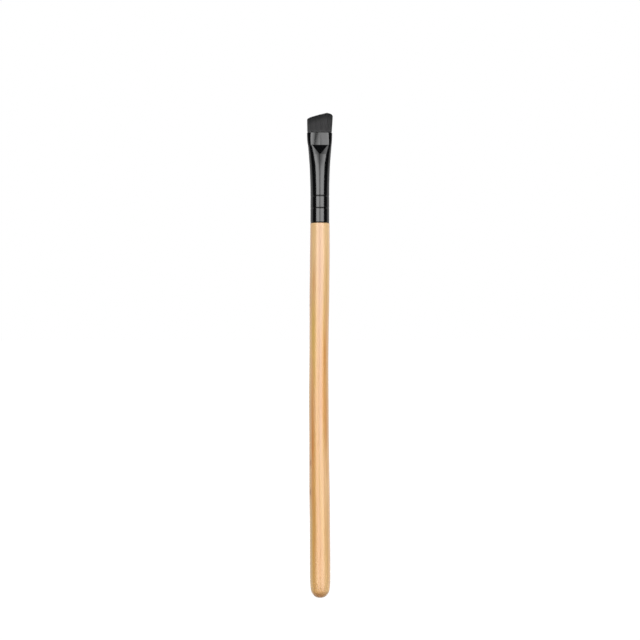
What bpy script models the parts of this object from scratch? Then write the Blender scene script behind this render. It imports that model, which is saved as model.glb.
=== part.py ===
# Flat slanted eyeliner brush: a turned wooden handle, a black ferrule tube and a tuft of dark hairs.
# Metres, +Z up. The origin is the butt end of the handle, and the tuft points up.
# The broad flat face of the ferrule looks along -Y, and its width runs along X.

import math

import bmesh
import bpy
from mathutils import Vector

MM = 0.001

# Handle: a turned rod with a domed butt end, a slight belly and a slight bow.
HANDLE_LENGTH = 123.5 * MM
HANDLE_DIAMETER = 6.72 * MM
BUTT_DOME_LENGTH = 4.1 * MM
BUTT_FLAT_DIAMETER = 0.9 * MM
SHOULDER_ROUND = 0.25 * MM
HANDLE_BOW = 0.4 * MM
TENON_CHAMFER = 0.6 * MM
HANDLE_SEGMENTS = 36
DOME_STEPS = 7

# Ferrule: a drawn tube, pressed wide and flat at the mouth, with two crimps over the tenon.
FERRULE_LENGTH = 29.65 * MM
FERRULE_DIAMETER = 6.2 * MM
WALL = 0.3 * MM
FLARE_LENGTH = 19.4 * MM
MOUTH_WIDTH = 8.42 * MM
MOUTH_SIDE_HEIGHT = 3.8 * MM
PAD_THICKNESS = 3.0 * MM
PAD_LENGTH = 4.2 * MM
FACET_LENGTH = 3.3 * MM
FACET_STEPS = 5
CRIMP_COUNT = 2
FIRST_CRIMP_HEIGHT = 4.75 * MM
CRIMP_PITCH = 3.95 * MM
CRIMP_WIDTH = 0.4 * MM
CRIMP_DEPTH = 0.1 * MM
FERRULE_SEGMENTS = 56
CUT_OVERRUN = 1.0 * MM

# Adhesive, cast roots and tuft.
ADHESIVE_THICKNESS = 0.3 * MM
ADHESIVE_SEGMENTS = 32
ROOT_LENGTH = 13.5 * MM
HOLLOW_LENGTH = 4.4 * MM
ROOT_SEGMENTS = 40
SLICE_THICKNESS = 1.4 * MM
SLICE_RECESS = 0.5 * MM
SLICE_SEGMENTS = 48
TUFT_HEIGHT = 6.6 * MM
SPLAY_HEIGHT = 0.6 * MM
SPLAY_SIDE_INSET = 0.11 * MM
SPLAY_FACE_INSET = 0.35 * MM
TIP_SIDE_SPREAD = 0.02 * MM
TIP_THICKNESS = 1.2 * MM
HAIR_PITCH = 0.185 * MM
HAIR_DIAMETER = 0.13 * MM
HAIR_BELLY_DIAMETER = 0.185 * MM
HAIR_TAPER = 1.3 * MM
HAIR_SIDES = 3

# The clearance between two pieces that touch or are bonded.
GAP = 0.25 * MM
# Two sections of the tube are never drawn closer than this.
SECTION_SPACING = 0.04 * MM
# Halvings that find a section's height from its girth.
GIRTH_STEPS = 40

# Handle radius along its length, each pair a share of the length and a share of the full radius.
HANDLE_GIRTH_SHARES = (
    (0.033, 0.992), (0.10, 1.0), (0.18, 0.985), (0.275, 1.0), (0.35, 0.974), (0.44, 0.958),
    (0.54, 0.96), (0.64, 0.937), (0.72, 0.945), (0.80, 0.97), (0.90, 0.972), (1.0, 0.955),
)
# Where along the handle its bow is deepest, as an exponent on the height's share.
BOW_SKEW_SHARE = 1.2

# How far the tube has widened along the flare, each pair a share of the flare and of the widening.
FLARE_SHARES = (
    (0.0, 0.0), (0.11, 0.035), (0.2, 0.078), (0.28, 0.12), (0.37, 0.18), (0.45, 0.25), (0.54, 0.353),
    (0.62, 0.455), (0.7, 0.59), (0.745, 0.69), (0.79, 0.80), (0.83, 0.88), (0.88, 0.935), (1.0, 1.0),
)

# The slanted cut of the tuft, each pair a share of the half width and of the height above the mouth.
CUT_SHARES = (
    (-1.0, 0.66), (-0.9, 0.75), (-0.7, 0.845), (-0.3, 0.89), (0.0, 0.945), (0.33, 0.985),
    (0.58, 1.0), (0.82, 0.985), (0.93, 0.94), (1.0, 0.84),
)
# How much lower the hairs of the front and back faces end than those in the middle.
FACE_CUT_SHARE = 0.05

HANDLE_RADIUS = HANDLE_DIAMETER / 2
FERRULE_RADIUS = FERRULE_DIAMETER / 2
FERRULE_FOOT = HANDLE_LENGTH + GAP
FERRULE_MOUTH = FERRULE_FOOT + FERRULE_LENGTH
FLARE_FOOT = FERRULE_MOUTH - FLARE_LENGTH
PAD_FOOT = FERRULE_MOUTH - PAD_LENGTH
TENON_RADIUS = FERRULE_RADIUS - WALL - GAP - ADHESIVE_THICKNESS - GAP
SLICE_TOP = FERRULE_MOUTH - SLICE_RECESS
SLICE_FOOT = SLICE_TOP - SLICE_THICKNESS
ROOT_FOOT = FERRULE_MOUTH - ROOT_LENGTH
ROOT_TOP = SLICE_FOOT - GAP
# The tube is empty between the roots and the tenon.
TENON_TOP = ROOT_FOOT - HOLLOW_LENGTH


# A value read from pairs of shares, straight between two pairs.
def follow(pairs, place):
    if place <= pairs[0][0]:
        return pairs[0][1]
    for (start, low), (end, high) in zip(pairs, pairs[1:]):
        if place <= end:
            share = (place - start) / (end - start)
            return low + (high - low) * share
    return pairs[-1][1]


# A drawn tube keeps its girth, so a section that gets wider gets thinner by the ellipse's own rule.
def ellipse_girth(half_width, half_height):
    total = half_width + half_height
    root = math.sqrt((3 * half_width + half_height) * (half_width + 3 * half_height))
    return math.pi * (3 * total - root)


def pressed_half_height(half_width):
    low = MOUTH_SIDE_HEIGHT / 2
    high = max(FERRULE_RADIUS, low)
    girth = math.pi * FERRULE_DIAMETER
    for _ in range(GIRTH_STEPS):
        middle = (low + high) / 2
        if ellipse_girth(half_width, middle) > girth:
            high = middle
        else:
            low = middle
    return high


# Half width and half height of the tube's outside at a height.
def tube_half_sizes(height):
    widening = follow(FLARE_SHARES, (height - FLARE_FOOT) / FLARE_LENGTH)
    half_width = FERRULE_RADIUS + (MOUTH_WIDTH / 2 - FERRULE_RADIUS) * widening
    half_height = pressed_half_height(half_width)
    return half_width, half_height


def crimp_heights():
    return [FERRULE_FOOT + FIRST_CRIMP_HEIGHT + CRIMP_PITCH * i for i in range(CRIMP_COUNT)]


def crimp_dent(height):
    nearest = min((abs(height - crimp) for crimp in crimp_heights()), default=CRIMP_WIDTH)
    return CRIMP_DEPTH * max(0.0, 1 - 2 * nearest / CRIMP_WIDTH)


# The heights at which the tube's sections are drawn.
def tube_levels():
    levels = [FERRULE_FOOT]
    for crimp in crimp_heights():
        levels += [crimp - CRIMP_WIDTH / 2, crimp, crimp + CRIMP_WIDTH / 2]
    levels += [FLARE_FOOT + FLARE_LENGTH * share for share, _ in FLARE_SHARES[:-1]]
    levels += [PAD_FOOT - FACET_LENGTH * i / FACET_STEPS for i in range(FACET_STEPS + 1)]
    levels.sort()
    kept = [level for level, after in zip(levels, levels[1:]) if after - level > SECTION_SPACING]
    return kept + [levels[-1], FERRULE_MOUTH]


# Half height of the round tube's own surface where it is a given way from the middle.
def tube_height_at(across, height):
    half_width, half_height = tube_half_sizes(height)
    return half_height * math.sqrt(max(0.0, 1 - (across / half_width) ** 2))


# Half width of the flat pad where the facet under it begins.
def facet_half_width():
    half_width, half_height = tube_half_sizes(PAD_FOOT)
    return half_width * math.sqrt(max(0.0, 1 - (PAD_THICKNESS / 2 / half_height) ** 2))


# The press leaves this half height, less the inset. Under the pad it follows the two straight
# edges of a triangular facet, which meet in a point on the round tube.
def press_half_height(height, inset):
    if height >= PAD_FOOT:
        return PAD_THICKNESS / 2 - inset
    share = min(1.0, (PAD_FOOT - height) / FACET_LENGTH)
    return tube_height_at(facet_half_width() * (1 - share), height) - inset


# One closed section inside the tube, a given inset in from its outside.
def tube_section(height, inset, segments, pressed=True):
    half_width, half_height = tube_half_sizes(height)
    dent = crimp_dent(height)
    half_width -= inset + dent
    half_height -= inset + dent
    limit = press_half_height(height, inset)
    points = []
    for i in range(segments):
        turn = 2 * math.pi * (i + 0.5) / segments
        y = half_height * math.sin(turn)
        if pressed:
            y = max(-limit, min(limit, y))
        points.append(Vector((half_width * math.cos(turn), y, height)))
    return points


def round_section(radius, height, segments, shift=0.0, turn_share=0.0):
    points = []
    for i in range(segments):
        turn = 2 * math.pi * (i + turn_share) / segments
        points.append(Vector((shift + radius * math.cos(turn), radius * math.sin(turn), height)))
    return points


# Skin of quads through rings of equally many points, counted anticlockwise from above.
def skin_rings(bm, rings):
    loops = [[bm.verts.new(point) for point in ring] for ring in rings]
    for lower, upper in zip(loops, loops[1:]):
        for i in range(len(lower)):
            j = (i + 1) % len(lower)
            bm.faces.new((lower[i], lower[j], upper[j], upper[i]))
    return loops


def finish_object(name, bm, material=None, sharp=math.radians(30)):
    mesh = bpy.data.meshes.new(name)
    bm.normal_update()
    bm.to_mesh(mesh)
    bm.free()
    mesh.shade_smooth()
    mesh.set_sharp_from_angle(angle=sharp)
    built = bpy.data.objects.new(name, mesh)
    bpy.context.scene.collection.objects.link(built)
    if material:
        mesh.materials.append(material)
    return built


def solid_from_rings(name, rings, material=None):
    bm = bmesh.new()
    loops = skin_rings(bm, rings)
    bm.faces.new(list(reversed(loops[0])))
    bm.faces.new(loops[-1])
    return finish_object(name, bm, material)


# A sleeve: outer rings going up, inner rings coming down, joined at both ends.
def sleeve_from_rings(name, outer, inner, material):
    bm = bmesh.new()
    around = outer + list(reversed(inner))
    loops = skin_rings(bm, around)
    first, last = loops[0], loops[-1]
    for i in range(len(first)):
        j = (i + 1) % len(first)
        bm.faces.new((last[i], last[j], first[j], first[i]))
    return finish_object(name, bm, material)


def make_cutter(built):
    built.hide_render = True
    built.display_type = "WIRE"
    return built


def cut_with(body, cutter):
    cut = body.modifiers.new(cutter.name, "BOOLEAN")
    cut.operation = "DIFFERENCE"
    cut.solver = "EXACT"
    cut.object = cutter


def make_material(name, colour, roughness, metallic=0.0):
    material = bpy.data.materials.new(name)
    material.use_nodes = True
    shader = material.node_tree.nodes["Principled BSDF"]
    shader.inputs["Base Color"].default_value = (*colour, 1.0)
    shader.inputs["Roughness"].default_value = roughness
    shader.inputs["Metallic"].default_value = metallic
    return material


# Handle: the dome is a quarter ellipse, then the rod follows its girth shares up to the shoulder.
def handle_shift(height):
    share = max(0.0, min(1.0, height / HANDLE_LENGTH))
    return -HANDLE_BOW * math.sin(math.pi * share ** BOW_SKEW_SHARE)


def build_handle(material):
    dome_radius = HANDLE_RADIUS * HANDLE_GIRTH_SHARES[0][1]
    flat_turn = math.asin(BUTT_FLAT_DIAMETER / 2 / dome_radius)
    profile = []
    for i in range(DOME_STEPS + 1):
        turn = flat_turn + (math.pi / 2 - flat_turn) * i / DOME_STEPS
        height = BUTT_DOME_LENGTH * (1 - math.cos(turn) / math.cos(flat_turn))
        profile.append((height, dome_radius * math.sin(turn)))
    shoulder_radius = HANDLE_RADIUS * HANDLE_GIRTH_SHARES[-1][1]
    for share, girth in HANDLE_GIRTH_SHARES[1:-1]:
        profile.append((HANDLE_LENGTH * share, HANDLE_RADIUS * girth))
    profile.append((HANDLE_LENGTH - SHOULDER_ROUND, shoulder_radius))
    profile.append((HANDLE_LENGTH, shoulder_radius - SHOULDER_ROUND))
    profile.append((HANDLE_LENGTH, TENON_RADIUS))
    profile.append((TENON_TOP - TENON_CHAMFER, TENON_RADIUS))
    profile.append((TENON_TOP, TENON_RADIUS - TENON_CHAMFER))
    rings = [
        round_section(radius, height, HANDLE_SEGMENTS, handle_shift(height))
        for height, radius in profile
    ]
    return solid_from_rings("handle", rings, material)


# Ferrule: the flared tube, pressed by a front and a back die, then bored to its wall.
def build_die(name, side):
    reach = MOUTH_WIDTH
    facet_levels = [PAD_FOOT - FACET_LENGTH * i / FACET_STEPS for i in range(FACET_STEPS + 1)]
    outline = [(PAD_THICKNESS / 2, FERRULE_MOUTH + CUT_OVERRUN)]
    outline += [(press_half_height(height, 0), height) for height in facet_levels]
    outline.append((reach, facet_levels[-1] - CUT_OVERRUN))
    outline.append((reach, FERRULE_MOUTH + CUT_OVERRUN))
    bm = bmesh.new()
    ends = []
    for x in (-MOUTH_WIDTH, MOUTH_WIDTH):
        ends.append([bm.verts.new((x, side * y, z)) for y, z in outline])
    bm.faces.new(ends[0])
    bm.faces.new(list(reversed(ends[1])))
    for i in range(len(outline)):
        j = (i + 1) % len(outline)
        bm.faces.new((ends[0][j], ends[0][i], ends[1][i], ends[1][j]))
    bmesh.ops.recalc_face_normals(bm, faces=bm.faces)
    return make_cutter(finish_object(name, bm))


def build_ferrule(material):
    levels = tube_levels()
    outside = [tube_section(height, 0.0, FERRULE_SEGMENTS, pressed=False) for height in levels]
    inside = [tube_section(height, WALL, FERRULE_SEGMENTS) for height in levels]
    below = [point - Vector((0, 0, CUT_OVERRUN)) for point in inside[0]]
    above = [point + Vector((0, 0, CUT_OVERRUN)) for point in inside[-1]]
    ferrule = solid_from_rings("ferrule", outside, material)
    cut_with(ferrule, build_die("front_die", -1))
    cut_with(ferrule, build_die("back_die", 1))
    cut_with(ferrule, make_cutter(solid_from_rings("bore_cutter", [below] + inside + [above])))
    return ferrule


# Adhesive: a sleeve on the tenon, which follows the crimps on its outside.
def build_adhesive(material):
    levels = [height for height in tube_levels() if height < TENON_TOP - TENON_CHAMFER]
    levels.append(TENON_TOP - TENON_CHAMFER)
    outer = [tube_section(height, WALL + GAP, ADHESIVE_SEGMENTS) for height in levels]
    inner = [
        round_section(TENON_RADIUS + GAP, height, ADHESIVE_SEGMENTS, turn_share=0.5)
        for height in (levels[0], levels[-1])
    ]
    return sleeve_from_rings("tenon_adhesive", outer, inner, material)


# Cast roots: resin that fills the flattened tube below the slice that carries the hairs.
def build_root_plug(material):
    levels = [height for height in tube_levels() if ROOT_FOOT < height < ROOT_TOP]
    levels = [ROOT_FOOT] + levels + [ROOT_TOP]
    rings = [tube_section(height, WALL + GAP, ROOT_SEGMENTS) for height in levels]
    return solid_from_rings("root_plug", rings, material)


# Hair places: a staggered grid, kept where a whole hair fits inside the slice's outline.
def hair_places():
    half_width, half_height = tube_half_sizes(SLICE_TOP)
    margin = WALL + GAP + HAIR_DIAMETER
    half_width -= margin
    half_height -= margin
    limit = press_half_height(SLICE_TOP, margin)
    row_pitch = HAIR_PITCH * math.sin(math.pi / 3)
    row_reach = int(limit / row_pitch)
    column_reach = int(half_width / HAIR_PITCH) + 1
    places = []
    for row in range(-row_reach, row_reach + 1):
        for column in range(-column_reach, column_reach + 1):
            x = (column + (row % 2) / 2) * HAIR_PITCH
            y = row * row_pitch
            if (x / half_width) ** 2 + (y / half_height) ** 2 < 1:
                places.append((x, y))
    return places


# The rings of one hair: its root, the place where the splay ends, the start of the taper, and the tip.
# Every height spreads or gathers the same grid, so no two hairs cross.
def hair_rings(x, y, reach_x, reach_y):
    across = x / reach_x
    deep = y / reach_y
    top = TUFT_HEIGHT * (follow(CUT_SHARES, across) - FACE_CUT_SHARE * deep * deep)
    tip_height = FERRULE_MOUTH + top
    side = MOUTH_WIDTH / 2
    splay = (across * (side - SPLAY_SIDE_INSET), deep * (PAD_THICKNESS / 2 - SPLAY_FACE_INSET))
    end = (across * (side + TIP_SIDE_SPREAD), deep * TIP_THICKNESS / 2)
    taper_share = (top - HAIR_TAPER - SPLAY_HEIGHT) / (top - SPLAY_HEIGHT)
    taper = [low + (high - low) * taper_share for low, high in zip(splay, end)]
    stations = (
        (x, y, SLICE_TOP, HAIR_DIAMETER),
        (*splay, FERRULE_MOUTH + SPLAY_HEIGHT, HAIR_BELLY_DIAMETER),
        (*taper, tip_height - HAIR_TAPER, HAIR_DIAMETER),
    )
    rings = []
    for centre_x, centre_y, height, diameter in stations:
        ring = round_section(diameter / 2, height, HAIR_SIDES)
        rings.append([point + Vector((centre_x, centre_y, 0)) for point in ring])
    return rings, Vector((*end, tip_height))


# Tuft: the slice's top face is filled round the hairs' roots, so slice and hairs are one body.
def build_tuft(material):
    places = hair_places()
    reach_x = max(abs(x) for x, _ in places)
    reach_y = max(abs(y) for _, y in places)
    bm = bmesh.new()
    slice_rings = [
        tube_section(height, WALL + GAP, SLICE_SEGMENTS) for height in (SLICE_FOOT, SLICE_TOP)
    ]
    loops = skin_rings(bm, slice_rings)
    bm.faces.new(list(reversed(loops[0])))
    rims = [loops[-1]]
    for x, y in places:
        rings, tip = hair_rings(x, y, reach_x, reach_y)
        hair = skin_rings(bm, rings)
        point = bm.verts.new(tip)
        for i in range(HAIR_SIDES):
            bm.faces.new((hair[-1][i], hair[-1][(i + 1) % HAIR_SIDES], point))
        rims.append(hair[0])
    edges = []
    for rim in rims:
        edges += [bm.edges.get((rim[i], rim[(i + 1) % len(rim)])) for i in range(len(rim))]
    # The fill's own tolerance suits millimetres, so the mesh is drawn in them while it is filled.
    bmesh.ops.scale(bm, vec=(1 / MM, 1 / MM, 1 / MM), verts=bm.verts)
    bmesh.ops.triangle_fill(bm, use_beauty=True, use_dissolve=False, edges=edges, normal=(0, 0, 1))
    bmesh.ops.scale(bm, vec=(MM, MM, MM), verts=bm.verts)
    bmesh.ops.recalc_face_normals(bm, faces=bm.faces)
    print("hairs in the tuft:", len(places))
    return finish_object("bristle_tuft", bm, material, math.radians(60))


for stale in list(bpy.data.objects):
    bpy.data.objects.remove(stale, do_unlink=True)

build_handle(make_material("lacquered wood", (0.72, 0.47, 0.23), 0.35))
build_ferrule(make_material("black lacquered metal", (0.012, 0.012, 0.013), 0.12))
build_adhesive(make_material("clear wood glue", (0.62, 0.52, 0.33), 0.5))
build_root_plug(make_material("amber resin", (0.35, 0.22, 0.08), 0.3))
build_tuft(make_material("dark synthetic hair", (0.055, 0.055, 0.058), 0.55))
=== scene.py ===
import math
import random

import bpy
from mathutils import Matrix, Vector, noise


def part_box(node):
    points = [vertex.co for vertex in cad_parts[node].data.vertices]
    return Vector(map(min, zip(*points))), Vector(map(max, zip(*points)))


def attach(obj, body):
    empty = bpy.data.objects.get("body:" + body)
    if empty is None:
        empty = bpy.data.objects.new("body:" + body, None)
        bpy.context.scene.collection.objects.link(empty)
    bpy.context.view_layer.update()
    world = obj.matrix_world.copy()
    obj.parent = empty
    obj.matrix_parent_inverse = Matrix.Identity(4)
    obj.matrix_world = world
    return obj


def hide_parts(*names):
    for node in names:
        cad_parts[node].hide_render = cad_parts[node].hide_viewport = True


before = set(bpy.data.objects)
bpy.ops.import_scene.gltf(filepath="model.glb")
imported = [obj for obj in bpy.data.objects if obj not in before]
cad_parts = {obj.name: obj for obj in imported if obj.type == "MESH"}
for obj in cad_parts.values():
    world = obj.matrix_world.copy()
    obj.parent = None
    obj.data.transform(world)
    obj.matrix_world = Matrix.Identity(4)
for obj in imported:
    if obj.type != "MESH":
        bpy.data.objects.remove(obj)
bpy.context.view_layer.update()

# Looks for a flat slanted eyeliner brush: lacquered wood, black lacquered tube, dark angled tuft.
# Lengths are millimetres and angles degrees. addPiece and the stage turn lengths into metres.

mm = 0.001

# The drawn tube ends a little past the solid one in the frame, and the heights along it follow its ends.
tubeLow, tubeHigh = [corner.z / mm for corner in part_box("ferrule")]
footHeight = tubeLow - 0.12
mouthHeight = tubeHigh + 0.05


# Small helpers.

def blendStep(low, high, value):
    share = max(0.0, min(1.0, (value - low) / (high - low)))
    return share * share * (3 - 2 * share)


# a smooth curve through a table of (place, value) pairs
def readCurve(pairs, place):
    if place <= pairs[0][0]:
        return pairs[0][1]
    for i in range(len(pairs) - 1):
        (start, low), (end, high) = pairs[i], pairs[i + 1]
        if place <= end:
            span = end - start
            before = pairs[i - 1] if i else pairs[i]
            after = pairs[i + 2] if i + 2 < len(pairs) else pairs[i + 1]
            slopeIn = (high - before[1]) / (end - before[0]) * span
            slopeOut = (after[1] - low) / (after[0] - start) * span
            share = (place - start) / span
            square, cube = share ** 2, share ** 3
            return ((2 * cube - 3 * square + 1) * low + (cube - 2 * square + share) * slopeIn
                    + (3 * square - 2 * cube) * high + (cube - square) * slopeOut)
    return pairs[-1][1]


# heights from start to end, close together inside each (centre, reach, step) zone
def spacedLevels(start, end, step, zones=()):
    slack = 1e-6
    levels = [start]
    while levels[-1] < end - slack:
        here = levels[-1]
        stride = step
        for centre, reach, fine in zones:
            if abs(here - centre) <= reach + slack:
                stride = min(stride, fine)
            elif here < centre - reach:
                stride = min(stride, max(fine, centre - reach - here))
        levels.append(min(end, here + stride))
    return levels


# steps of a rounded edge: share of its radius along the piece, and share inwards
def quarterRound(steps):
    turns = [math.pi / 2 * i / steps for i in range(1, steps + 1)]
    return [(math.sin(turn), 1 - math.cos(turn)) for turn in turns]


def ringFaces(ringCount, around, closed=False):
    faces = []
    for ring in range(ringCount if closed else ringCount - 1):
        low = ring * around
        high = ((ring + 1) % ringCount) * around
        for i in range(around):
            j = (i + 1) % around
            faces.append((low + i, low + j, high + j, high + i))
    return faces


def addPiece(name, verts, faces, material, replaced):
    mesh = bpy.data.meshes.new(name)
    mesh.from_pydata([(x * mm, y * mm, z * mm) for x, y, z in verts], [], faces)
    mesh.validate()
    mesh.shade_smooth()
    mesh.materials.append(material)
    piece = bpy.data.objects.new(name, mesh)
    bpy.context.scene.collection.objects.link(piece)
    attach(piece, "root")
    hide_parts(replaced)
    return piece


# wraps one socket, so that sums on sockets can be written as Python expressions
class Wire:
    def __init__(self, tree, socket=None):
        self.tree = tree
        self.socket = socket

    # any node: its settings go in first, then the values or wires of its sockets
    def node(self, kind, settings=None, values=None, out=0):
        made = self.tree.nodes.new(kind)
        for name, value in (settings or {}).items():
            setattr(made, name, value)
        for name, value in (values or {}).items():
            if isinstance(value, Wire):
                self.tree.links.new(value.socket, made.inputs[name])
            else:
                made.inputs[name].default_value = value
        return Wire(self.tree, made.outputs[out] if len(made.outputs) else None)

    def math(self, operation, first, second=0.0):
        return self.node("ShaderNodeMath", {"operation": operation}, {0: first, 1: second})

    def __add__(self, other):
        return self.math("ADD", self, other)

    def __radd__(self, other):
        return self.math("ADD", other, self)

    def __sub__(self, other):
        return self.math("SUBTRACT", self, other)

    def __rsub__(self, other):
        return self.math("SUBTRACT", other, self)

    def __mul__(self, other):
        return self.math("MULTIPLY", self, other)

    def __rmul__(self, other):
        return self.math("MULTIPLY", other, self)

    def __truediv__(self, other):
        return self.math("DIVIDE", self, other)

    def __pow__(self, other):
        return self.math("POWER", self, other)

    def __abs__(self):
        return self.math("ABSOLUTE", self)

    # 0 below low, top above high, smooth between them
    def ramp(self, low, high, top=1.0):
        settings = {"interpolation_type": "SMOOTHSTEP"}
        values = {"Value": self, "From Min": low, "From Max": high, "To Max": top}
        return self.node("ShaderNodeMapRange", settings, values)

    # a soft bump of height 1 about a centre
    def hill(self, centre, reach):
        return self.math("EXPONENT", ((self - centre) / reach) ** 2 * -1.0)

    # 1 between two edges and 0 outside them, with each edge soft for this far either side
    def window(self, low, high, soft):
        return self.ramp(low - soft, low + soft) * (1 - self.ramp(high - soft, high + soft))

    # the place on the piece, in millimetres
    def place(self):
        return self.node("ShaderNodeTexCoord", out="Object").stretch(1 / mm, 1 / mm, 1 / mm)

    def stretch(self, x, y, z):
        values = {0: self, 1: (x, y, z)}
        return self.node("ShaderNodeVectorMath", {"operation": "MULTIPLY"}, values)

    def part(self, axis):
        return self.node("ShaderNodeSeparateXYZ", values={0: self}, out=axis)

    def noise(self, scale, detail, rough=0.5, warp=0.0):
        values = {"Vector": self, "Scale": scale, "Detail": detail, "Roughness": rough,
                  "Distortion": warp}
        return self.node("ShaderNodeTexNoise", values=values)

    # self is the share of the second colour
    def mix(self, first, second):
        settings = {"data_type": "RGBA", "clamp_factor": True}
        return self.node("ShaderNodeMix", settings, {0: self, 6: first, 7: second}, 2)

    def bump(self, strength, depth):
        values = {"Strength": strength, "Distance": depth * mm, "Height": self}
        return self.node("ShaderNodeBump", values=values)


def newMaterial(name):
    material = bpy.data.materials.new(name)
    material.use_nodes = True
    material.node_tree.nodes.clear()
    return material, Wire(material.node_tree)


def finishMaterial(start, values):
    shader = start.node("ShaderNodeBsdfPrincipled", values=values)
    start.node("ShaderNodeOutputMaterial", values={"Surface": shader})


def opaque(colour):
    return (*colour, 1.0)


# Handle: turned light wood under a clear gloss lacquer.

woodLook = {
    "straw": (0.74, 0.45, 0.145),       # yellow fibre
    "peach": (0.75, 0.425, 0.195),      # pinkish fibre
    "pale": (0.86, 0.565, 0.28),        # lighter wood
    # pinkish fibre; round the front middle its marks are a painted highlight tint
    "pinkAndHighlight": (0.735, 0.445, 0.275),
    "olive": (0.68, 0.43, 0.09),        # greenish fibre
    "apricot": (0.82, 0.43, 0.12),
    "greyAndSideShade": (0.46, 0.335, 0.165),       # greyer fibre, and painted shade down the rod's left and right sides
    "amber": (0.625, 0.225, 0.033),     # darker growth bands
    "umber": (0.36, 0.15, 0.045),       # thin lines, pores and specks
    "footShade": (0.03, 0.016, 0.01),        # the shadowed end under the tube
    "bandSize": (2.0, 2.0, 46.0),
    "fibreSize": (0.26, 0.26, 13.0),
    # noise: scale, detail, roughness and distortion
    "broadNoise": (1.0, 2.0, 0.5, 0.25),
    "hueNoise": (1.25, 2.0, 0.55, 0.3),
    "hueShift": (7.3, 2.1, 4.4),        # keeps the hue apart from the bands
    "fineNoise": (1.0, 3.0, 0.6),
    "threadNoise": (2.7, 1.0, 0.5),
    # ramps over that noise: from, to and strength
    "peachRamp": (0.4, 0.6, 1.0),
    "amberBands": (0.5, 0.72, 0.22),
    "amberFibres": (0.5, 0.8, 0.1),
    "darkThreads": (0.66, 0.8, 0.16),
    "darkBands": (0.3, 0.6, 1.0),
    "ragged": (0.6, 0.8),               # a mark's least strength, and what the grain adds to it
    "buttFade": (1.1, 2.95),            # end grain and painted shade darken the domed butt up to here
    "buttDark": 0.66,
    "buttEdgeShade": (3.6, 0.22, 0.12),      # a faint dark line round the butt, painted shade where its dome begins: height, half width, strength
    "footShadeFade": (-0.23, -0.09),         # from the tube's foot
    "roughness": (0.42, 0.2),           # least, and what the grain adds to it
    "grain": (0.6, 0.4),                # shares of fibre and thread in the relief
    "grainBump": (0.25, 0.03),          # its strength and depth
    "specular": 0.25,
    "coatRoughness": 0.27,
    "coatRefraction": 1.5,
    # broad marks: turn from the front, height, half turn, half height, strength
    "marks": {
        "pale": ((0, 118, 75, 19, 1.0), (52, 112, 16, 24, 0.3), (44, 24, 24, 28, 1.0),
                 (40, 40, 14, 9, 0.3), (-60, 30, 9, 40, 0.5), (64, 60, 8, 90, 0.5),
                 (12, 36, 10, 8, 0.5), (170, 90, 60, 30, 0.5)),
        # round the front middle the pink marks are a painted highlight tint; the rest are pinkish fibre
        "pinkAndHighlight": ((0, 104, 18, 40, 1.0), (12, 68, 12, 9, 0.3), (-6, 23, 7, 11, 0.5),
                 (1, 52, 11, 16, 0.5), (50, 86, 10, 10, 0.4), (70, 66, 10, 80, 0.6),
                 (66, 78, 7, 9, 0.5), (-16, 42, 8, 45, 0.25), (-68, 100, 9, 34, 0.6),
                 (120, 40, 20, 30, 0.5)),
        "olive": ((-44, 90, 12, 9, 0.65), (-44, 16, 13, 16, 0.7), (-42, 62, 10, 70, 0.3),
                  (28, 14, 14, 10, 0.25), (46, 104, 12, 14, 0.5), (48, 16, 10, 16, 0.35),
                  (4, 36, 14, 12, 0.3), (24, 90, 9, 10, 0.4), (-120, 80, 30, 30, 0.4)),
        "apricot": ((18, 80, 7, 13, 0.7), (20, 64, 8, 8, 0.6), (-6, 20, 8, 16, 0.3)),
        # the marks near turns -60 and 51 are painted shade down the rod's sides; the rest are greyer
        # fibre
        "greyAndSideShade": ((-60, 108, 10, 22, 0.45), (-60, 22, 10, 28, 0.6), (-60, 64, 10, 14, 0.25),
                 (51, 110, 10, 20, 0.25), (51, 62, 10, 22, 0.5), (51, 18, 10, 18, 0.4),
                 (140, 80, 12, 30, 0.3), (-110, 60, 10, 30, 0.3)),
        "amber": ((33, 80.5, 8, 8, 0.72), (50, 80, 11, 20, 0.2), (36, 62, 14, 11, 0.5),
                  (44, 54, 11, 8, 0.3), (-40, 104, 10, 5, 0.35), (-48, 61, 11, 16, 0.5),
                  (-44, 49, 8, 8, 0.6), (-45, 34, 9, 6, 0.3), (-42, 18, 10, 17, 0.3),
                  (-16, 42, 8, 45, 0.24), (-16, 18, 8, 14, 0.1), (-30, 32, 8, 34, 0.24),
                  (22, 72, 7, 16, 0.12), (7, 86, 5, 5, 0.14), (7, 64, 5, 5, 0.12),
                  (47, 92, 8, 5, 0.2), (47, 42, 8, 5, 0.3), (0, 22, 90, 36, 0.04),
                  (150, 60, 24, 26, 0.75), (-140, 40, 22, 20, 0.75), (175, 105, 14, 16, 0.65),
                  (110, 96, 13, 28, 0.55), (-100, 20, 12, 26, 0.5), (-120, 100, 12, 20, 0.5),
                  (170, 20, 10, 18, 0.6), (90, 40, 12, 24, 0.5)),
        "umber": ((-62, 50, 11, 20, 0.22), (-64, 100, 8, 40, 0.09), (-62, 18, 10, 14, 0.1),
                  (56, 58, 12, 14, 0.06)),
    },
    "specks": ((-65, 44.6, 8, 1.0, 1.0), (-66, 34.7, 8, 1.5, 0.9), (118, 63, 6, 1.0, 0.8),
               (-160, 92, 5, 1.3, 0.7)),
}


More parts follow.
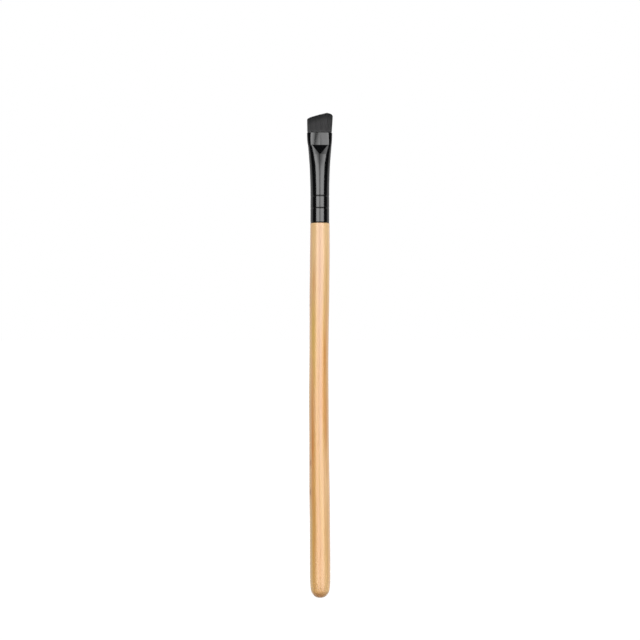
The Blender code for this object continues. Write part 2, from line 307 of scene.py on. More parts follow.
def makeWood():
    look = woodLook
    material, start = newMaterial("lacquered_wood")
    place = start.place()
    x, y, z = place.part(0), place.part(1), place.part(2)
    turn = start.math("ARCTAN2", x, y * -1.0) * math.degrees(1)

    band = place.stretch(*(1 / size for size in look["bandSize"]))
    broad = band.noise(*look["broadNoise"])
    apart = start.node("ShaderNodeVectorMath", {"operation": "ADD"}, {0: band, 1: look["hueShift"]})
    hue = apart.noise(*look["hueNoise"])
    fibre = place.stretch(*(1 / size for size in look["fibreSize"]))
    fine = fibre.noise(*look["fineNoise"])
    thread = fibre.noise(*look["threadNoise"])

    # soft marks at given places on the rod, added up
    def marks(table):
        total = 0.0
        for angle, height, halfTurn, halfHeight, strength in table:
            total = turn.hill(angle, halfTurn) * z.hill(height, halfHeight) * strength + total
        return total

    colour = hue.ramp(*look["peachRamp"]).mix(opaque(look["straw"]), opaque(look["peach"]))
    # straight grain makes each mark's edge ragged
    least, added = look["ragged"]
    ragged = least + fine * added
    # the grey marks down the sides are painted shade, and the pink ones round the front middle a painted
    # highlight tint
    for name in ("pale", "pinkAndHighlight", "olive", "apricot", "greyAndSideShade"):
        colour = (marks(look["marks"][name]) * ragged).mix(colour, opaque(look[name]))
    amber = broad.ramp(*look["amberBands"]) + fine.ramp(*look["amberFibres"])
    amber = amber + marks(look["marks"]["amber"]) * ragged
    colour = amber.mix(colour, opaque(look["amber"]))
    colour = marks(look["marks"]["umber"]).mix(colour, opaque(look["umber"]))
    dark = thread.ramp(*look["darkThreads"]) * broad.ramp(*look["darkBands"]) + marks(look["specks"])
    colour = dark.mix(colour, opaque(look["umber"]))
    # a faint dark line round the butt: painted shade where the dome begins
    lineHeight, lineHalf, edgeShadeDepth = look["buttEdgeShade"]
    # end grain and painted shade darken the domed butt towards its end
    butt = (1 - z.ramp(*look["buttFade"])) * look["buttDark"] + z.hill(lineHeight, lineHalf) * edgeShadeDepth
    colour = butt.mix(colour, opaque(look["umber"]))
    # painted shadow on the wood just under the tube's foot
    footShade = z.ramp(*(footHeight + away for away in look["footShadeFade"]))
    colour = footShade.mix(colour, opaque(look["footShade"]))

    least, added = look["roughness"]
    fineShare, threadShare = look["grain"]
    finishMaterial(start, {
        "Base Color": colour,
        "Roughness": least + fine * added,
        "Normal": (fine * fineShare + thread * threadShare).bump(*look["grainBump"]),
        "Specular IOR Level": look["specular"],
        "Coat Weight": 1.0,
        "Coat Roughness": look["coatRoughness"],
        "Coat IOR": look["coatRefraction"],
    })
    return material


handleShape = {
    "length": footHeight - 0.02,        # up to the shoulder that the tube meets
    # height and diameter, from the domed butt to the shoulder
    "girth": ((0.0, 1.7), (0.06, 2.4), (0.2, 3.14), (0.53, 4.08), (0.86, 4.68), (1.2, 5.15),
              (1.5, 5.52), (1.85, 5.85), (2.5, 6.2), (3.2, 6.37), (4.5, 6.57), (5.8, 6.67),
              (12, 6.71), (22, 6.62), (34, 6.72), (42, 6.6), (52, 6.46), (65, 6.45), (78, 6.3),
              (91.6, 6.38), (98, 6.52), (111, 6.53), (119, 6.42), (123.61, 6.38)),
    # height and sideways shift of the centre line, the rod's slight natural bow
    "bow": ((0, 0.14), (5.8, 0.14), (19, 0.07), (35.5, -0.08), (55, -0.25), (72, -0.31), (98, -0.13),
            (115, 0.03), (123.61, 0.05)),
    "shoulderRound": 0.13,
    "shoulderSteps": 5,
    "tenonRadius": 1.85,
    "tenonFillet": 0.05,
    "tenonTop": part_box("handle")[1].z / mm - 0.1,   # just under the end of the solid tenon
    "step": 1.5,
    "fineZones": ((1.6, 1.6, 0.11), (4.4, 1.4, 0.3)),   # centre, reach, step
    # hand sanding leaves the rod a few hundredths out of round, but not its very end
    "waveSize": (1.3, 16),              # waves round the rod, and their length along it
    "waveShare": 0.006,
    "waveStart": (1.0, 6.0),
    "around": 112,
}


def makeHandle(material):
    shape = handleShape
    length, tenon, fillet = shape["length"], shape["tenonRadius"], shape["tenonFillet"]
    edgeRound = shape["shoulderRound"]
    edge = length - edgeRound
    levels = spacedLevels(0.0, edge, shape["step"], shape["fineZones"])
    rings = [(level, readCurve(shape["girth"], level) / 2) for level in levels]
    topRadius = rings[-1][1]
    for along, inward in quarterRound(shape["shoulderSteps"]):
        rings.append((edge + edgeRound * along, topRadius - edgeRound * inward))
    rings.append((length, tenon + fillet))
    rings.append((length + fillet, tenon))
    rings.append((shape["tenonTop"], tenon))
    verts = []
    around = shape["around"]
    waves, waveLength = shape["waveSize"]
    for height, radius in rings:
        shift = readCurve(shape["bow"], height)
        swing = shape["waveShare"] * blendStep(*shape["waveStart"], height)
        for i in range(around):
            turn = 2 * math.pi * i / around
            wave = noise.noise((math.cos(turn) * waves, math.sin(turn) * waves, height / waveLength))
            reach = radius * (1 + swing * wave)
            verts.append((shift + reach * math.cos(turn), reach * math.sin(turn), height))
    faces = ringFaces(len(rings), around)
    faces.append(tuple(reversed(range(around))))
    faces.append(tuple(range(len(verts) - around, len(verts))))
    addPiece("turned_handle", verts, faces, material, "handle")


makeHandle(makeWood())
print("handle made")


# Ferrule: a drawn tube pressed flat at its mouth, under black gloss lacquer.

lacquerLook = {
    "black": (0.0020, 0.0020, 0.0024),
    "haze": (0.0045, 0.0045, 0.0052),
    "streakStretch": (1.4, 1.4, 0.12),  # fine streaks along the tube
    # noise: scale, detail and roughness
    "streakNoise": (1.6, 3.0, 0.5),
    "speckNoise": (3.2, 4.0, 0.6),
    "peelNoise": (1.1, 2.0, 0.4),
    # ramps over the specks: from, to and strength
    "hazeRamp": (0.45, 0.75, 0.6),
    "roughRamp": (0.6, 0.8, 0.04),
    "roughness": (0.13, 0.03),          # least, and what the streaks add to it
    "peelStreaks": 0.8,
    "peelBump": (0.12, 0.02),           # strength and depth of the orange peel
    "specular": 0.56,
}


def makeLacquer():
    look = lacquerLook
    material, start = newMaterial("black_lacquer")
    place = start.place()
    streak = place.stretch(*look["streakStretch"]).noise(*look["streakNoise"])
    speck = place.noise(*look["speckNoise"])
    least, added = look["roughness"]
    peel = place.noise(*look["peelNoise"]) + streak * look["peelStreaks"]
    finishMaterial(start, {
        "Base Color": speck.ramp(*look["hazeRamp"]).mix(opaque(look["black"]), opaque(look["haze"])),
        "Roughness": least + streak * added + speck.ramp(*look["roughRamp"]),
        "Normal": peel.bump(*look["peelBump"]),
        "Specular IOR Level": look["specular"],
    })
    return material


ferruleShape = {
    "radius": 3.125,
    "wall": 0.3,
    "flareFoot": mouthHeight - 19.45,
    "mouthHalfWidth": 4.21,
    # height and sideways shift of the tube's centre line
    "shift": ((123.6, 0.01), (136, 0.01), (144, 0.0), (149, -0.01), (150.8, -0.06), (153.45, -0.07)),
    # share of the flare's height, and share of its widening
    "widening": ((0.0, 0.0), (0.11, 0.035), (0.2, 0.078), (0.28, 0.12), (0.37, 0.18), (0.45, 0.25),
                 (0.54, 0.37), (0.62, 0.475), (0.7, 0.588), (0.745, 0.655), (0.79, 0.735),
                 (0.83, 0.835), (0.88, 0.915), (1.0, 0.99)),
    "padHalf": 1.56,                    # half the thickness over the pads' ridges
    "padFoot": mouthHeight - 4.2,
    "padFootHalfWidth": 2.46,
    "padMouthHalfWidth": 2.88,
    "padTwist": -1.4,                   # turns the whole pad about the brush's axis
    "pressLength": 7.0,                 # the press shapes the tube from this far below the pad
    "squareness": 1.1,                  # how much flatter the pressed tube is in its middle
    "ridgeLean": 1.5,                   # and how far its two halves lean from a soft ridge
    "ridgeRound": 0.22,
    "creaseRound": 0.07,                # where the pad meets the tube's sides
    "facetApex": mouthHeight - 7.33,    # the point of the triangular facet
    "facetLean": -0.03,                 # and how far to the side that point lies
    "facetEdge": 0.12,                  # half width of the facet's rounded edges
    "crimps": ((footHeight + 4.85, 0.24), (footHeight + 8.8, 0.255)),   # height and half width
    "crimpSlope": 0.36,
    "crimpLip": (0.008, 1.7, 0.5),      # its height, and its place and reach in half widths
    "sideEase": (0.6, 0.7),             # how much less a crimp bites at the sides, and from where
    "lipRound": 0.12,                   # rounded lip at the mouth
    "lipSteps": 4,
    "lipEdge": (0.04, 0.05),            # and its inner edge, inwards and down
    "footRound": 0.34,                  # rounded lip at the foot
    "footSteps": 8,
    "insideEnds": (0.02, 0.4),          # the bore's straight wall, from the foot and from the mouth
    "insideStep": 1.1,
    "insetFrom": 0.9,                   # nearer the middle plane than this, insets shrink in proportion
    "step": 0.42,
    "crimpStep": 0.032,
    "facetZone": (2.0, 0.085),          # reach and step
    "padZone": (1.9, 0.16),
    "around": 208,
    "halvings": 30,                     # in the search for the tube's kept girth
    "leanReach": 3.2,                   # how far either side of the middle the leans are added up
    "leanStep": 0.04,
    # place across the pad, and lean of its surface there, where the press left it wavy
    "leanAtFoot": ((-3.0, -7.5), (-2.74, -6.0), (-2.41, -4.6), (-2.08, -3.0), (-1.88, -1.4),
                   (-1.6, 0.9), (-1.42, 1.6), (-1.09, 2.2), (-0.76, 3.0), (-0.43, 4.6), (-0.12, 7.2),
                   (0.08, 3.8), (0.28, 1.4), (0.52, 2.8), (0.86, 4.2), (1.4, 4.6), (2.2, 4.6),
                   (3.0, 4.9)),
    "leanAtMouth": ((-3.0, -7.6), (-2.74, -6.9), (-2.41, -5.9), (-2.08, -4.4), (-1.75, -2.4),
                    (-1.42, -0.95), (-1.09, -0.15), (-0.76, 0.6), (-0.43, 1.6), (-0.1, 2.7),
                    (0.2, 3.4), (0.56, 3.9), (1.4, 4.2), (2.2, 4.3), (3.0, 4.6)),
}


# half height of the ellipse that keeps the drawn tube's girth at this half width
def keptGirth(halfWidth):
    shape = ferruleShape
    low, high = 0.0, shape["radius"]
    girth = 2 * math.pi * shape["radius"]
    for _ in range(shape["halvings"]):
        middle = (low + high) / 2
        total = halfWidth + middle
        root = math.sqrt((3 * halfWidth + middle) * (halfWidth + 3 * middle))
        if math.pi * (3 * total - root) > girth:
            high = middle
        else:
            low = middle
    return high


# how far the pad's surface falls from its ridge, found by adding up its lean across the pad
def padDrop(lean):
    step = ferruleShape["leanStep"]
    count = round(ferruleShape["leanReach"] / step)
    table = []
    drop = 0.0
    for i in range(-count, count + 1):
        turned = readCurve(lean, (i - 0.5) * step) + ferruleShape["padTwist"]
        drop += math.tan(math.radians(turned)) * step
        table.append((i * step, drop))
    least = min(value for _, value in table)
    return [(x, value - least) for x, value in table]


dropAtFoot = padDrop(ferruleShape["leanAtFoot"])
dropAtMouth = padDrop(ferruleShape["leanAtMouth"])


# reads an evenly spaced table
def tableAt(table, x):
    start, step = table[0][0], table[1][0] - table[0][0]
    along = (x - start) / step
    i = max(0, min(len(table) - 2, int(along)))
    share = max(0.0, min(1.0, along - i))
    return table[i][1] + (table[i + 1][1] - table[i][1]) * share


def padLevel(x, share):
    drop = tableAt(dropAtFoot, x) * (1 - share) + tableAt(dropAtMouth, x) * share
    return ferruleShape["padHalf"] - drop


# the lower of two heights, with the crease between them rounded
def softMin(first, second, reach):
    near = max(reach - abs(first - second), 0.0) / reach
    return min(first, second) - near * near * reach / 4


def tubeHalfWidth(height):
    shape = ferruleShape
    span = mouthHeight - shape["flareFoot"]
    widening = readCurve(shape["widening"], (height - shape["flareFoot"]) / span)
    return shape["radius"] + (shape["mouthHalfWidth"] - shape["radius"]) * widening


# half height of the ellipse that meets the pad's edge on one side
def pressedHalf(halfWidth, flatHalf, share, side):
    return padLevel(side * flatHalf, share) / math.sqrt(1 - (flatHalf / halfWidth) ** 2)


footWidth = tubeHalfWidth(ferruleShape["padFoot"])
footKept = keptGirth(footWidth)
footHalves = {
    side: pressedHalf(footWidth, ferruleShape["padFootHalfWidth"], 0.0, side) for side in (-1, 1)
}
apexHalf = keptGirth(tubeHalfWidth(ferruleShape["facetApex"]))


# how far the pressed surface is from the tube's middle plane, at a place across it
def pressedSurface(x, height, halfWidth, kept):
    shape = ferruleShape
    side = 1 if x > 0 else -1
    pressed = blendStep(shape["padFoot"] - shape["pressLength"], shape["padFoot"], height)
    share = max(0.0, (height - shape["padFoot"]) / (mouthHeight - shape["padFoot"]))
    power = 2 + shape["squareness"] * pressed * (1 - share)
    across = math.sqrt(max(0.0, 1 - abs(x / halfWidth) ** power))
    ridge = math.tan(math.radians(shape["ridgeLean"])) * pressed * across
    across -= ridge * (math.hypot(x, shape["ridgeRound"]) - shape["ridgeRound"]) / kept
    if height >= shape["padFoot"]:
        flatHalf = shape["padFootHalfWidth"]
        flatHalf += (shape["padMouthHalfWidth"] - flatHalf) * share
        half = pressedHalf(halfWidth, flatHalf, share, side)
        return softMin(half * across, padLevel(x, share), shape["creaseRound"])
    if height <= shape["facetApex"]:
        return kept * across
    # beside the facet the tube thins evenly from the facet's point up to the pad
    rise = (height - shape["facetApex"]) / (shape["padFoot"] - shape["facetApex"])
    strip = (kept - (footKept - footHalves[side]) * rise) * across
    plane = padLevel(x, 0.0) * rise + apexHalf * (1 - rise)
    edge = (shape["padFootHalfWidth"] - shape["facetEdge"] / 2) * rise
    away = abs(x - shape["facetLean"] * (1 - rise))
    inside = 1 - blendStep(edge - shape["facetEdge"], edge + shape["facetEdge"], away)
    return strip + (min(strip, plane) - strip) * inside


# how deep the crimps bite at a height, less the lips they push up
def crimpDent(height):
    shape = ferruleShape
    lip, lipPlace, lipReach = shape["crimpLip"]
    dent = 0.0
    for crimp, half in shape["crimps"]:
        away = abs(height - crimp) / half
        dent += shape["crimpSlope"] * half * max(0.0, 1 - away)
        dent -= lip * math.exp(-((away - lipPlace) / lipReach) ** 2)
    return dent


def ferruleRing(height, inset, dent=0.0):
    shape = ferruleShape
    halfWidth = tubeHalfWidth(height)
    kept = keptGirth(halfWidth)
    shift = readCurve(shape["shift"], height)
    ease, easeStart = shape["sideEase"]
    points = []
    for i in range(shape["around"]):
        turn = 2 * math.pi * (i + 0.5) / shape["around"]
        x, y = halfWidth * math.cos(turn), kept * math.sin(turn)
        if height > shape["padFoot"] - shape["pressLength"]:
            # the same wavy pad on both faces, turned about the brush's axis
            face = 1 if y > 0 else -1
            y = face * pressedSurface(-face * x, height, halfWidth, kept)
        shrink = inset + dent * (1 - ease * blendStep(easeStart, 1.0, abs(x) / halfWidth))
        x *= 1 - shrink / halfWidth
        y *= 1 - shrink / max(abs(y), shape["insetFrom"])
        points.append((shift + x, y, height))
    return points


def makeFerrule(material):
    shape = ferruleShape
    facetReach, facetStep = shape["facetZone"]
    padReach, padStep = shape["padZone"]
    zones = [(crimp, half * shape["crimpLip"][1], shape["crimpStep"]) for crimp, half in shape["crimps"]]
    zones.append(((shape["padFoot"] + shape["facetApex"]) / 2, facetReach, facetStep))
    zones.append((mouthHeight - padReach, padReach, padStep))
    foot, lip, wall = shape["footRound"], shape["lipRound"], shape["wall"]
    rings = []
    for along, inward in reversed(quarterRound(shape["footSteps"])):
        height = footHeight + foot * (1 - along)
        rings.append(ferruleRing(height, foot * inward, crimpDent(height)))
    for height in spacedLevels(footHeight + foot, mouthHeight - lip, shape["step"], zones):
        rings.append(ferruleRing(height, 0.0, crimpDent(height)))
    for along, inward in quarterRound(shape["lipSteps"]):
        height = mouthHeight - lip + lip * along
        rings.append(ferruleRing(height, lip * inward, crimpDent(height)))
    edgeInward, edgeDown = shape["lipEdge"]
    rings.append(ferruleRing(mouthHeight, wall - edgeInward))
    rings.append(ferruleRing(mouthHeight - edgeDown, wall))
    insideLow, insideHigh = shape["insideEnds"]
    inside = spacedLevels(footHeight + insideLow, mouthHeight - insideHigh, shape["insideStep"])
    rings += [ferruleRing(height, wall) for height in reversed(inside)]
    verts = [point for ring in rings for point in ring]
    faces = ringFaces(len(rings), shape["around"], True)
    addPiece("pressed_ferrule", verts, faces, material, "ferrule")


makeFerrule(makeLacquer())
print("ferrule made")


# Tuft: several thousand fine strands round a dark core, cut to a slant.

hairLook = {
    "body": (0.0585, 0.0583, 0.0595),
    "tip": (0.025, 0.025, 0.026),
    "tipFade": (0.5, 3.0),              # from the tip down
    # painted light: strands just over the mouth are made lighter where they lean out and face down into
    # shade
    "root": (0.1, 0.1, 0.102),
    "rootLightFade": (0.1, 1.3),             # from the mouth up
    "rootLightShare": 0.6,
    "light": (0.93, 0.14),              # the darkest strand, and how much lighter the lightest is
    "roughness": (0.5, 0.12),           # least, and what the noise adds to it
    "roughNoise": (2.0, 2.0),           # scale and detail
    "specular": 0.3,
}


def makeHair():
    look = hairLook
    material, start = newMaterial("dark_hair")
    shade, fromTip, fromRoot = [
        start.node("ShaderNodeAttribute", {"attribute_name": name}, out="Fac")
        for name in ("strandShade", "fromTip", "fromRoot")
    ]
    colour = fromTip.ramp(*look["tipFade"]).mix(opaque(look["tip"]), opaque(look["body"]))
    # painted light on the strands just over the mouth
    rootLight = (1 - fromRoot.ramp(*look["rootLightFade"])) * look["rootLightShare"]
    colour = rootLight.mix(colour, opaque(look["root"]))
    darkest, swing = look["light"]
    values = {0: colour, "Scale": shade * swing + darkest}
    colour = start.node("ShaderNodeVectorMath", {"operation": "SCALE"}, values)
    least, added = look["roughness"]
    finishMaterial(start, {
        "Base Color": colour,
        "Roughness": least + start.place().noise(*look["roughNoise"]) * added,
        "Specular IOR Level": look["specular"],
    })
    return material


tuftShape = {
    "strands": 3300,
    "seed": 11,
    "height": 6.61,
    "rootDepth": 0.9,
    "rootHalf": (3.88, 1.12),           # half width and half thickness in the mouth
    "splayHalf": (4.05, 1.28),          # and just above it
    "splayStart": -0.25,
    "splayHeight": 0.5,
    "tipHalf": (4.255, 0.52),
    "thinning": 1.3,                    # above 1, the thickness shrinks later than the width
    "shift": -0.08,                     # the tuft sits a little to its short side
    "lean": 0.13,                       # and its tips lean back to the long side
    # the slanted cut: share of the half width, share of the height
    "cut": ((-1.0, 0.69), (-0.96, 0.722), (-0.88, 0.755), (-0.7, 0.808), (-0.45, 0.856),
            (-0.2, 0.905), (0.0, 0.942), (0.3, 0.984), (0.45, 1.01), (0.55, 1.022), (0.66, 1.01),
            (0.76, 0.99), (0.86, 0.967), (0.94, 0.928), (1.0, 0.85)),
    "faceDrop": 0.35,                   # the outer strands end lower than the middle ones
    "uneven": 0.048,                    # and unevenly
    # steps of a low-discrepancy walk, which packs the strands evenly, and its jitter
    "walk": (0.7548776662, 0.5698402910),
    "jitter": (0.006, 0.02),
    "section": (3.2, 2.6),              # powers of the rounded oblong that the strands fill
    "stray": (0.02, 0.03),              # how far the tips stray, across and deep
    "radius": 0.037,
    "sides": 3,
    "bends": (0.0, 0.35, 0.85),         # heights over the mouth where a strand bends
    "ends": (1.0, 0.35),                # and depths under its tip where it tapers
    "taper": (1.0, 1.0, 1.02, 1.05, 1.0, 0.85, 0.55),
}


def tuftPlace(across, deep, height, top):
    shape = tuftShape
    foot = shape["splayHeight"]
    splay = blendStep(shape["splayStart"], foot, height)
    rise = max(0.0, min(1.0, (height - foot) / (top - foot)))
    halves = []
    for axis, share in enumerate((rise, rise ** shape["thinning"])):
        root, opened, tip = [shape[name][axis] for name in ("rootHalf", "splayHalf", "tipHalf")]
        halves.append(root + (opened - root) * splay + (tip - opened) * share)
    return across * halves[0] + shape["shift"] + shape["lean"] * rise, deep * halves[1]


def strandRing(x, y, height, radius, spin, sides):
    ring = []
    for i in range(sides):
        turn = spin + 2 * math.pi * i / sides
        ring.append((x + radius * math.cos(turn), y + radius * math.sin(turn), height))
    return ring


# what the hair's material reads at each point
def addLayers(piece, shades, tips, roots):
    for name, values in (("strandShade", shades), ("fromTip", tips), ("fromRoot", roots)):
        layer = piece.data.attributes.new(name, "FLOAT", "POINT")
        layer.data.foreach_set("value", values)


def makeTuft(material):
    shape = tuftShape
    chance = random.Random(shape["seed"])
    sides = shape["sides"]
    ends = shape["ends"]
    verts, faces = [], []
    shades, tips, roots = [], [], []
    made = 0
    tries = 0
    while made < shape["strands"]:
        tries += 1
        across, deep = [
            ((tries * step) % 1.0) * 2 - 1 + chance.uniform(-jitter, jitter)
            for step, jitter in zip(shape["walk"], shape["jitter"])
        ]
        if abs(across) ** shape["section"][0] + abs(deep) ** shape["section"][1] > 1:
            continue
        made += 1
        top = shape["height"] * readCurve(shape["cut"], across) - shape["faceDrop"] * deep * deep
        top -= abs(chance.gauss(0, shape["uneven"]))
        shade = chance.random()
        spin = chance.uniform(0, math.tau)
        strayX, strayY = [chance.gauss(0, stray) for stray in shape["stray"]]
        heights = (-shape["rootDepth"], *shape["bends"], top / 2, top - ends[0], top - ends[1])
        base = len(verts)
        for height, taper in zip(heights, shape["taper"]):
            x, y = tuftPlace(across, deep, height, top)
            rise = max(0.0, height / top) ** 2
            x += strayX * rise
            y += strayY * rise
            verts += strandRing(x, y, mouthHeight + height, shape["radius"] * taper, spin, sides)
            shades += [shade] * sides
            tips += [top - height] * sides
            roots += [height] * sides
        x, y = tuftPlace(across, deep, top, top)
        verts.append((x + strayX, y + strayY, mouthHeight + top))
        shades.append(shade)
        tips.append(0.0)
        roots.append(top)
        for ring in range(len(heights) - 1):
            for i in range(sides):
                j = (i + 1) % sides
                low, high = base + ring * sides, base + (ring + 1) * sides
                faces.append((low + i, low + j, high + j, high + i))
        last = base + (len(heights) - 1) * sides
        faces += [(last + i, last + (i + 1) % sides, len(verts) - 1) for i in range(sides)]
        faces.append(tuple(reversed(range(base, base + sides))))
    piece = addPiece("bristle_strands", verts, faces, material, "bristle_tuft")
    addLayers(piece, shades, tips, roots)


# the strands' own mass, seen only as depth between them
coreShape = {
    "around": 72,
    "rows": 14,
    "half": (0.96, 0.9),                # share of the tuft's half width and half thickness
    "square": (0.7, 0.8),               # powers below 1 square its section
    "below": 0.55,                      # how far its top lies under the strands' tips
    "taperEnd": 0.5,                    # its taper ends this far over its top
    "narrowing": (0.75, 1.0, 0.25),     # from, to and how much thinner, near its top
    "shade": 0.2,
}


def makeTuftCore(material):
    shape = coreShape
    depth, below = tuftShape["rootDepth"], shape["below"]
    around, rows = shape["around"], shape["rows"]
    narrowStart, narrowEnd, thinner = shape["narrowing"]
    verts, tips, roots = [], [], []
    for row in range(rows + 1):
        share = row / rows
        narrow = 1 - thinner * blendStep(narrowStart, narrowEnd, share)
        for i in range(around):
            turn = 2 * math.pi * i / around
            circle = (math.cos(turn), math.sin(turn))
            across, deep = [
                abs(value) ** power * math.copysign(half, value)
                for value, power, half in zip(circle, shape["square"], shape["half"])
            ]
            top = tuftShape["height"] * readCurve(tuftShape["cut"], across) - below
            height = -depth + (top + depth) * share
            x, y = tuftPlace(across, deep, height, top + shape["taperEnd"])
            verts.append((x, y * narrow, mouthHeight + height))
            tips.append(below + top - height)
            roots.append(height)
    faces = ringFaces(rows + 1, around)
    faces.append(tuple(reversed(range(around))))
    # the slanted top is closed by a strip of quads from front to back
    last = rows * around
    for i in range(around // 2):
        corners = (i, i + 1, around - i - 1, (around - i) % around)
        faces.append(tuple(last + k for k in dict.fromkeys(corners)))
    piece = addPiece("bristle_core", verts, faces, material, "bristle_tuft")
    addLayers(piece, [shape["shade"]] * len(verts), tips, roots)


hair = makeHair()
makeTuft(hair)
makeTuftCore(hair)
print("tuft made")


# The hidden pieces keep their own shape and get their real finish.

castPieces = {
    "root_plug": {
        "finish": "amber_resin",
        "light": (0.42, 0.25, 0.08),
        "dark": (0.22, 0.11, 0.03),
        "roughness": 0.18,
        "scale": 0.9,
    },
    "tenon_adhesive": {
        "finish": "wood_glue",
        "light": (0.66, 0.56, 0.36),
        "dark": (0.46, 0.36, 0.2),
        "roughness": 0.4,
        "scale": 1.4,
    },
}
castLook = {
    "cloudNoise": (4.0, 0.6),           # detail and roughness
    "cloudRamp": (0.35, 0.65),
    "cloudRough": 0.15,
    "bubbleNoise": (2.0, 0.5),
    "bubbleScale": 5,                   # times as fine as the cloud
    "bubbleRamp": (0.6, 0.7, 0.3),
    "cloudRelief": 0.7,
    "bump": (0.3, 0.05),
}


def makeCast(piece):
    look = castLook
    material, start = newMaterial(piece["finish"])
    place = start.place()
    cloud = place.noise(piece["scale"], *look["cloudNoise"])
    bubble = place.noise(piece["scale"] * look["bubbleScale"], *look["bubbleNoise"])
    relief = cloud * look["cloudRelief"] + bubble.ramp(*look["bubbleRamp"])
    finishMaterial(start, {
        "Base Color": cloud.ramp(*look["cloudRamp"]).mix(opaque(piece["light"]), opaque(piece["dark"])),
        "Roughness": piece["roughness"] + cloud * look["cloudRough"],
        "Normal": relief.bump(*look["bump"]),
    })
    return material


for nodeName, piece in castPieces.items():
    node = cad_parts[nodeName]
    node.data.materials.clear()
    node.data.materials.append(makeCast(piece))
print("hidden pieces finished")


# Stage: a pale floor, a white surround and a tall softbox either side of the camera.

stage = {
    "floorSize": 8000.0,
    "floorGrey": 0.05,
    "floorNoise": (60.0, 3.0),          # scale and detail
    "floorRoughness": (0.97, 0.01),     # least, and what the noise adds to it
    "white": 1.0,
    "surroundFront": 0.015,             # what the lacquer mirrors in front of the brush
    "surroundBeside": 0.82,             # a little behind it, to either side
    "surroundBehind": 0.25,             # and right behind it
    # where each follows the one before, as shares of the way back
    "besideRamp": (0.0, 0.22),
    "behindRamp": (0.7, 0.97),
    "fill": 1.0,                        # soft light from all sides on matt surfaces
    "fillBehind": 1.2,
    "fillBehindRamp": (0.0, 0.5),
    "fillBelow": 0.3,
    "fillBelowRamp": (-0.8, -0.1),      # and this one as shares of the way up
}
softboxes = {
    "middle": -0.9,                     # azimuth of the gap between them
    "near": 2.25,                       # degrees either side of it
    "below": 24.0,
    "above": 37.0,
    "soft": 0.8,                        # half width of their soft edges
    "radiance": 5.75,
    "highRamp": (11.0, 21.0),           # elevations from low down to high up
    # side, outer edge, strength low down and high up, and how weak the inner part is high up
    "sides": ((-1.0, 43.4, 1.0, 0.92, 0.6), (1.0, 47.5, 0.95, 0.53, 0.46)),
    "innerShade": 0.27,                 # and low down
    "innerRamp": (2.0, 18.0),
    "innerFade": (4.0, 13.0, 38.0),     # from where, and to where low down and high up
    "spread": (22.0, 27.0, 14.0),       # they widen at the very top: from, to and how much
    "topShade": (17.0, 37.0, 0.22),     # and weaken towards it
    "rear": (2.0, 13.0),                # near and far edges of a narrower pair behind the brush
    "rearPower": 0.38,
}


# how strong the softboxes are in each direction
def softboxLight(start, right, back, up):
    boxes = softboxes
    soft = boxes["soft"]
    azimuth = start.math("ARCTAN2", right, back * -1.0) * math.degrees(1) - boxes["middle"]
    elevation = start.math("ARCSINE", up) * math.degrees(1)
    high = elevation.ramp(*boxes["highRamp"])
    spread = elevation.ramp(*boxes["spread"])
    fadeStart, fadeLow, fadeHigh = boxes["innerFade"]
    fadeEnd = high * (fadeHigh - fadeLow) + fadeLow
    innerLow = boxes["innerShade"]
    panels = 0.0
    for side, outer, powerLow, powerHigh, innerHigh in boxes["sides"]:
        across = azimuth * side
        inner = elevation.ramp(*boxes["innerRamp"]) * (innerHigh - innerLow) + innerLow
        power = high * (powerHigh - powerLow) + powerLow
        shade = 1 - (1 - across.ramp(fadeStart, fadeEnd)) * inner
        panels = across.window(boxes["near"], spread + outer, soft) * shade * power + panels
    behind = abs(start.math("ARCTAN2", right, back) * math.degrees(1))
    panels = behind.window(*boxes["rear"], soft) * boxes["rearPower"] + panels
    upright = elevation.window(-boxes["below"], boxes["above"], soft)
    return panels * upright * (1 - elevation.ramp(*boxes["topShade"])) * boxes["radiance"]


def makeWorld():
    world = bpy.data.worlds.new("studio")
    bpy.context.scene.world = world
    world.use_nodes = True
    world.node_tree.nodes.clear()
    start = Wire(world.node_tree)
    direction = start.node("ShaderNodeTexCoord", out="Generated")
    right, back, up = direction.part(0), direction.part(1), direction.part(2)
    front, beside, behind = stage["surroundFront"], stage["surroundBeside"], stage["surroundBehind"]
    gloss = front + back.ramp(*stage["besideRamp"], beside - front)
    gloss = gloss - back.ramp(*stage["behindRamp"], beside - behind)
    gloss = softboxLight(start, right, back, up) + gloss
    fill = stage["fill"]
    matt = fill + back.ramp(*stage["fillBehindRamp"], stage["fillBehind"] - fill)
    matt = matt - (1 - up.ramp(*stage["fillBelowRamp"])) * (fill - stage["fillBelow"])
    isCamera = start.node("ShaderNodeLightPath", out="Is Camera Ray")
    isGlossy = start.node("ShaderNodeLightPath", out="Is Glossy Ray")
    strength = isGlossy * gloss + (1 - isGlossy) * matt
    strength = isCamera * stage["white"] + (1 - isCamera) * strength
    surface = start.node("ShaderNodeBackground", values={"Color": (1, 1, 1, 1), "Strength": strength})
    start.node("ShaderNodeOutputWorld", values={"Surface": surface})


def makeFloor():
    half = stage["floorSize"] / 2 * mm
    corners = [(-half, -half, 0), (half, -half, 0), (half, half, 0), (-half, half, 0)]
    mesh = bpy.data.meshes.new("floor")
    mesh.from_pydata(corners, [], [(0, 1, 2, 3)])
    material, start = newMaterial("pale_floor")
    place = start.node("ShaderNodeTexCoord", out="Object")
    least, added = stage["floorRoughness"]
    finishMaterial(start, {
        "Base Color": opaque([stage["floorGrey"]] * 3),
        "Roughness": least + place.noise(*stage["floorNoise"]) * added,
        "Specular IOR Level": 0.0,
        "Emission Color": (1.0, 1.0, 1.0, 1.0),
        "Emission Strength": stage["white"],
    })
    mesh.materials.append(material)
    floor = bpy.data.objects.new("floor", mesh)
    bpy.context.scene.collection.objects.link(floor)
    # the floor is there for the eye only, so the softboxes may reach below it
    floor.visible_diffuse = False
    floor.visible_glossy = False
    floor.visible_transmission = False
    floor.visible_shadow = False


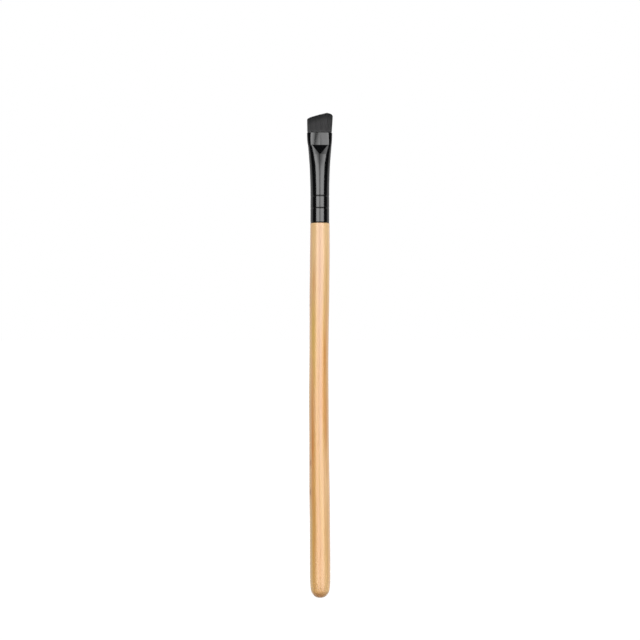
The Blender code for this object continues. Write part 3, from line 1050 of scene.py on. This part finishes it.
cameraPlace = {
    "turn": 1.8,                        # degrees to the left of the pad's middle
    "side": 0.07,
    "distance": 330.0,
    "height": 91.6,
    "pictureWidth": 211.65,             # what the picture spans at that distance
    "sensor": 36.0,
    "clip": (10.0, 50000.0),
}
lamps = {
    "distance": 2500.0,
    "below": 40.0,
    "above": 36.0,
    # middle azimuth, half width in degrees and radiance
    "panels": ((-24.0, 21.0, 0.1), (58.0, 25.0, 0.4)),
}


# a lamp that lights matt surfaces only
def addLamp(azimuth, halfAngle, radiance):
    reach = lamps["distance"] * mm
    eye = cameraPlace["height"] * mm
    low = eye - reach * math.tan(math.radians(lamps["below"]))
    high = eye + reach * math.tan(math.radians(lamps["above"]))
    width = 2 * reach * math.tan(math.radians(halfAngle))
    data = bpy.data.lights.new("lamp", "AREA")
    data.shape = "RECTANGLE"
    data.size = width
    data.size_y = high - low
    data.energy = radiance * math.pi * width * (high - low)
    lamp = bpy.data.objects.new("lamp", data)
    bpy.context.scene.collection.objects.link(lamp)
    turn = math.radians(azimuth)
    away = Vector((math.sin(turn), -math.cos(turn), 0.0))
    spot = away * reach + Vector((0, 0, (low + high) / 2))
    lamp.matrix_world = Matrix.Translation(spot) @ away.to_track_quat("Z", "Y").to_matrix().to_4x4()
    lamp.visible_camera = False
    lamp.visible_glossy = False


def makeCamera():
    spot = cameraPlace
    data = bpy.data.cameras.new("camera")
    data.sensor_width = spot["sensor"]
    data.lens = spot["sensor"] * spot["distance"] / spot["pictureWidth"]
    data.clip_start, data.clip_end = [distance * mm for distance in spot["clip"]]
    camera = bpy.data.objects.new("camera", data)
    turn = math.radians(spot["turn"])
    along = Vector((math.sin(turn), math.cos(turn), 0.0))
    across = Vector((math.cos(turn), -math.sin(turn), 0.0))
    level = Vector((0, 0, spot["height"]))
    camera.location = (across * spot["side"] - along * spot["distance"] + level) * mm
    camera.rotation_euler = (math.pi / 2, 0, -turn)
    bpy.context.scene.collection.objects.link(camera)
    bpy.context.scene.camera = camera


makeFloor()
makeWorld()
for panel in lamps["panels"]:
    addLamp(*panel)
makeCamera()
bpy.context.scene.view_settings.view_transform = "Standard"
print("stage, lights and camera made")
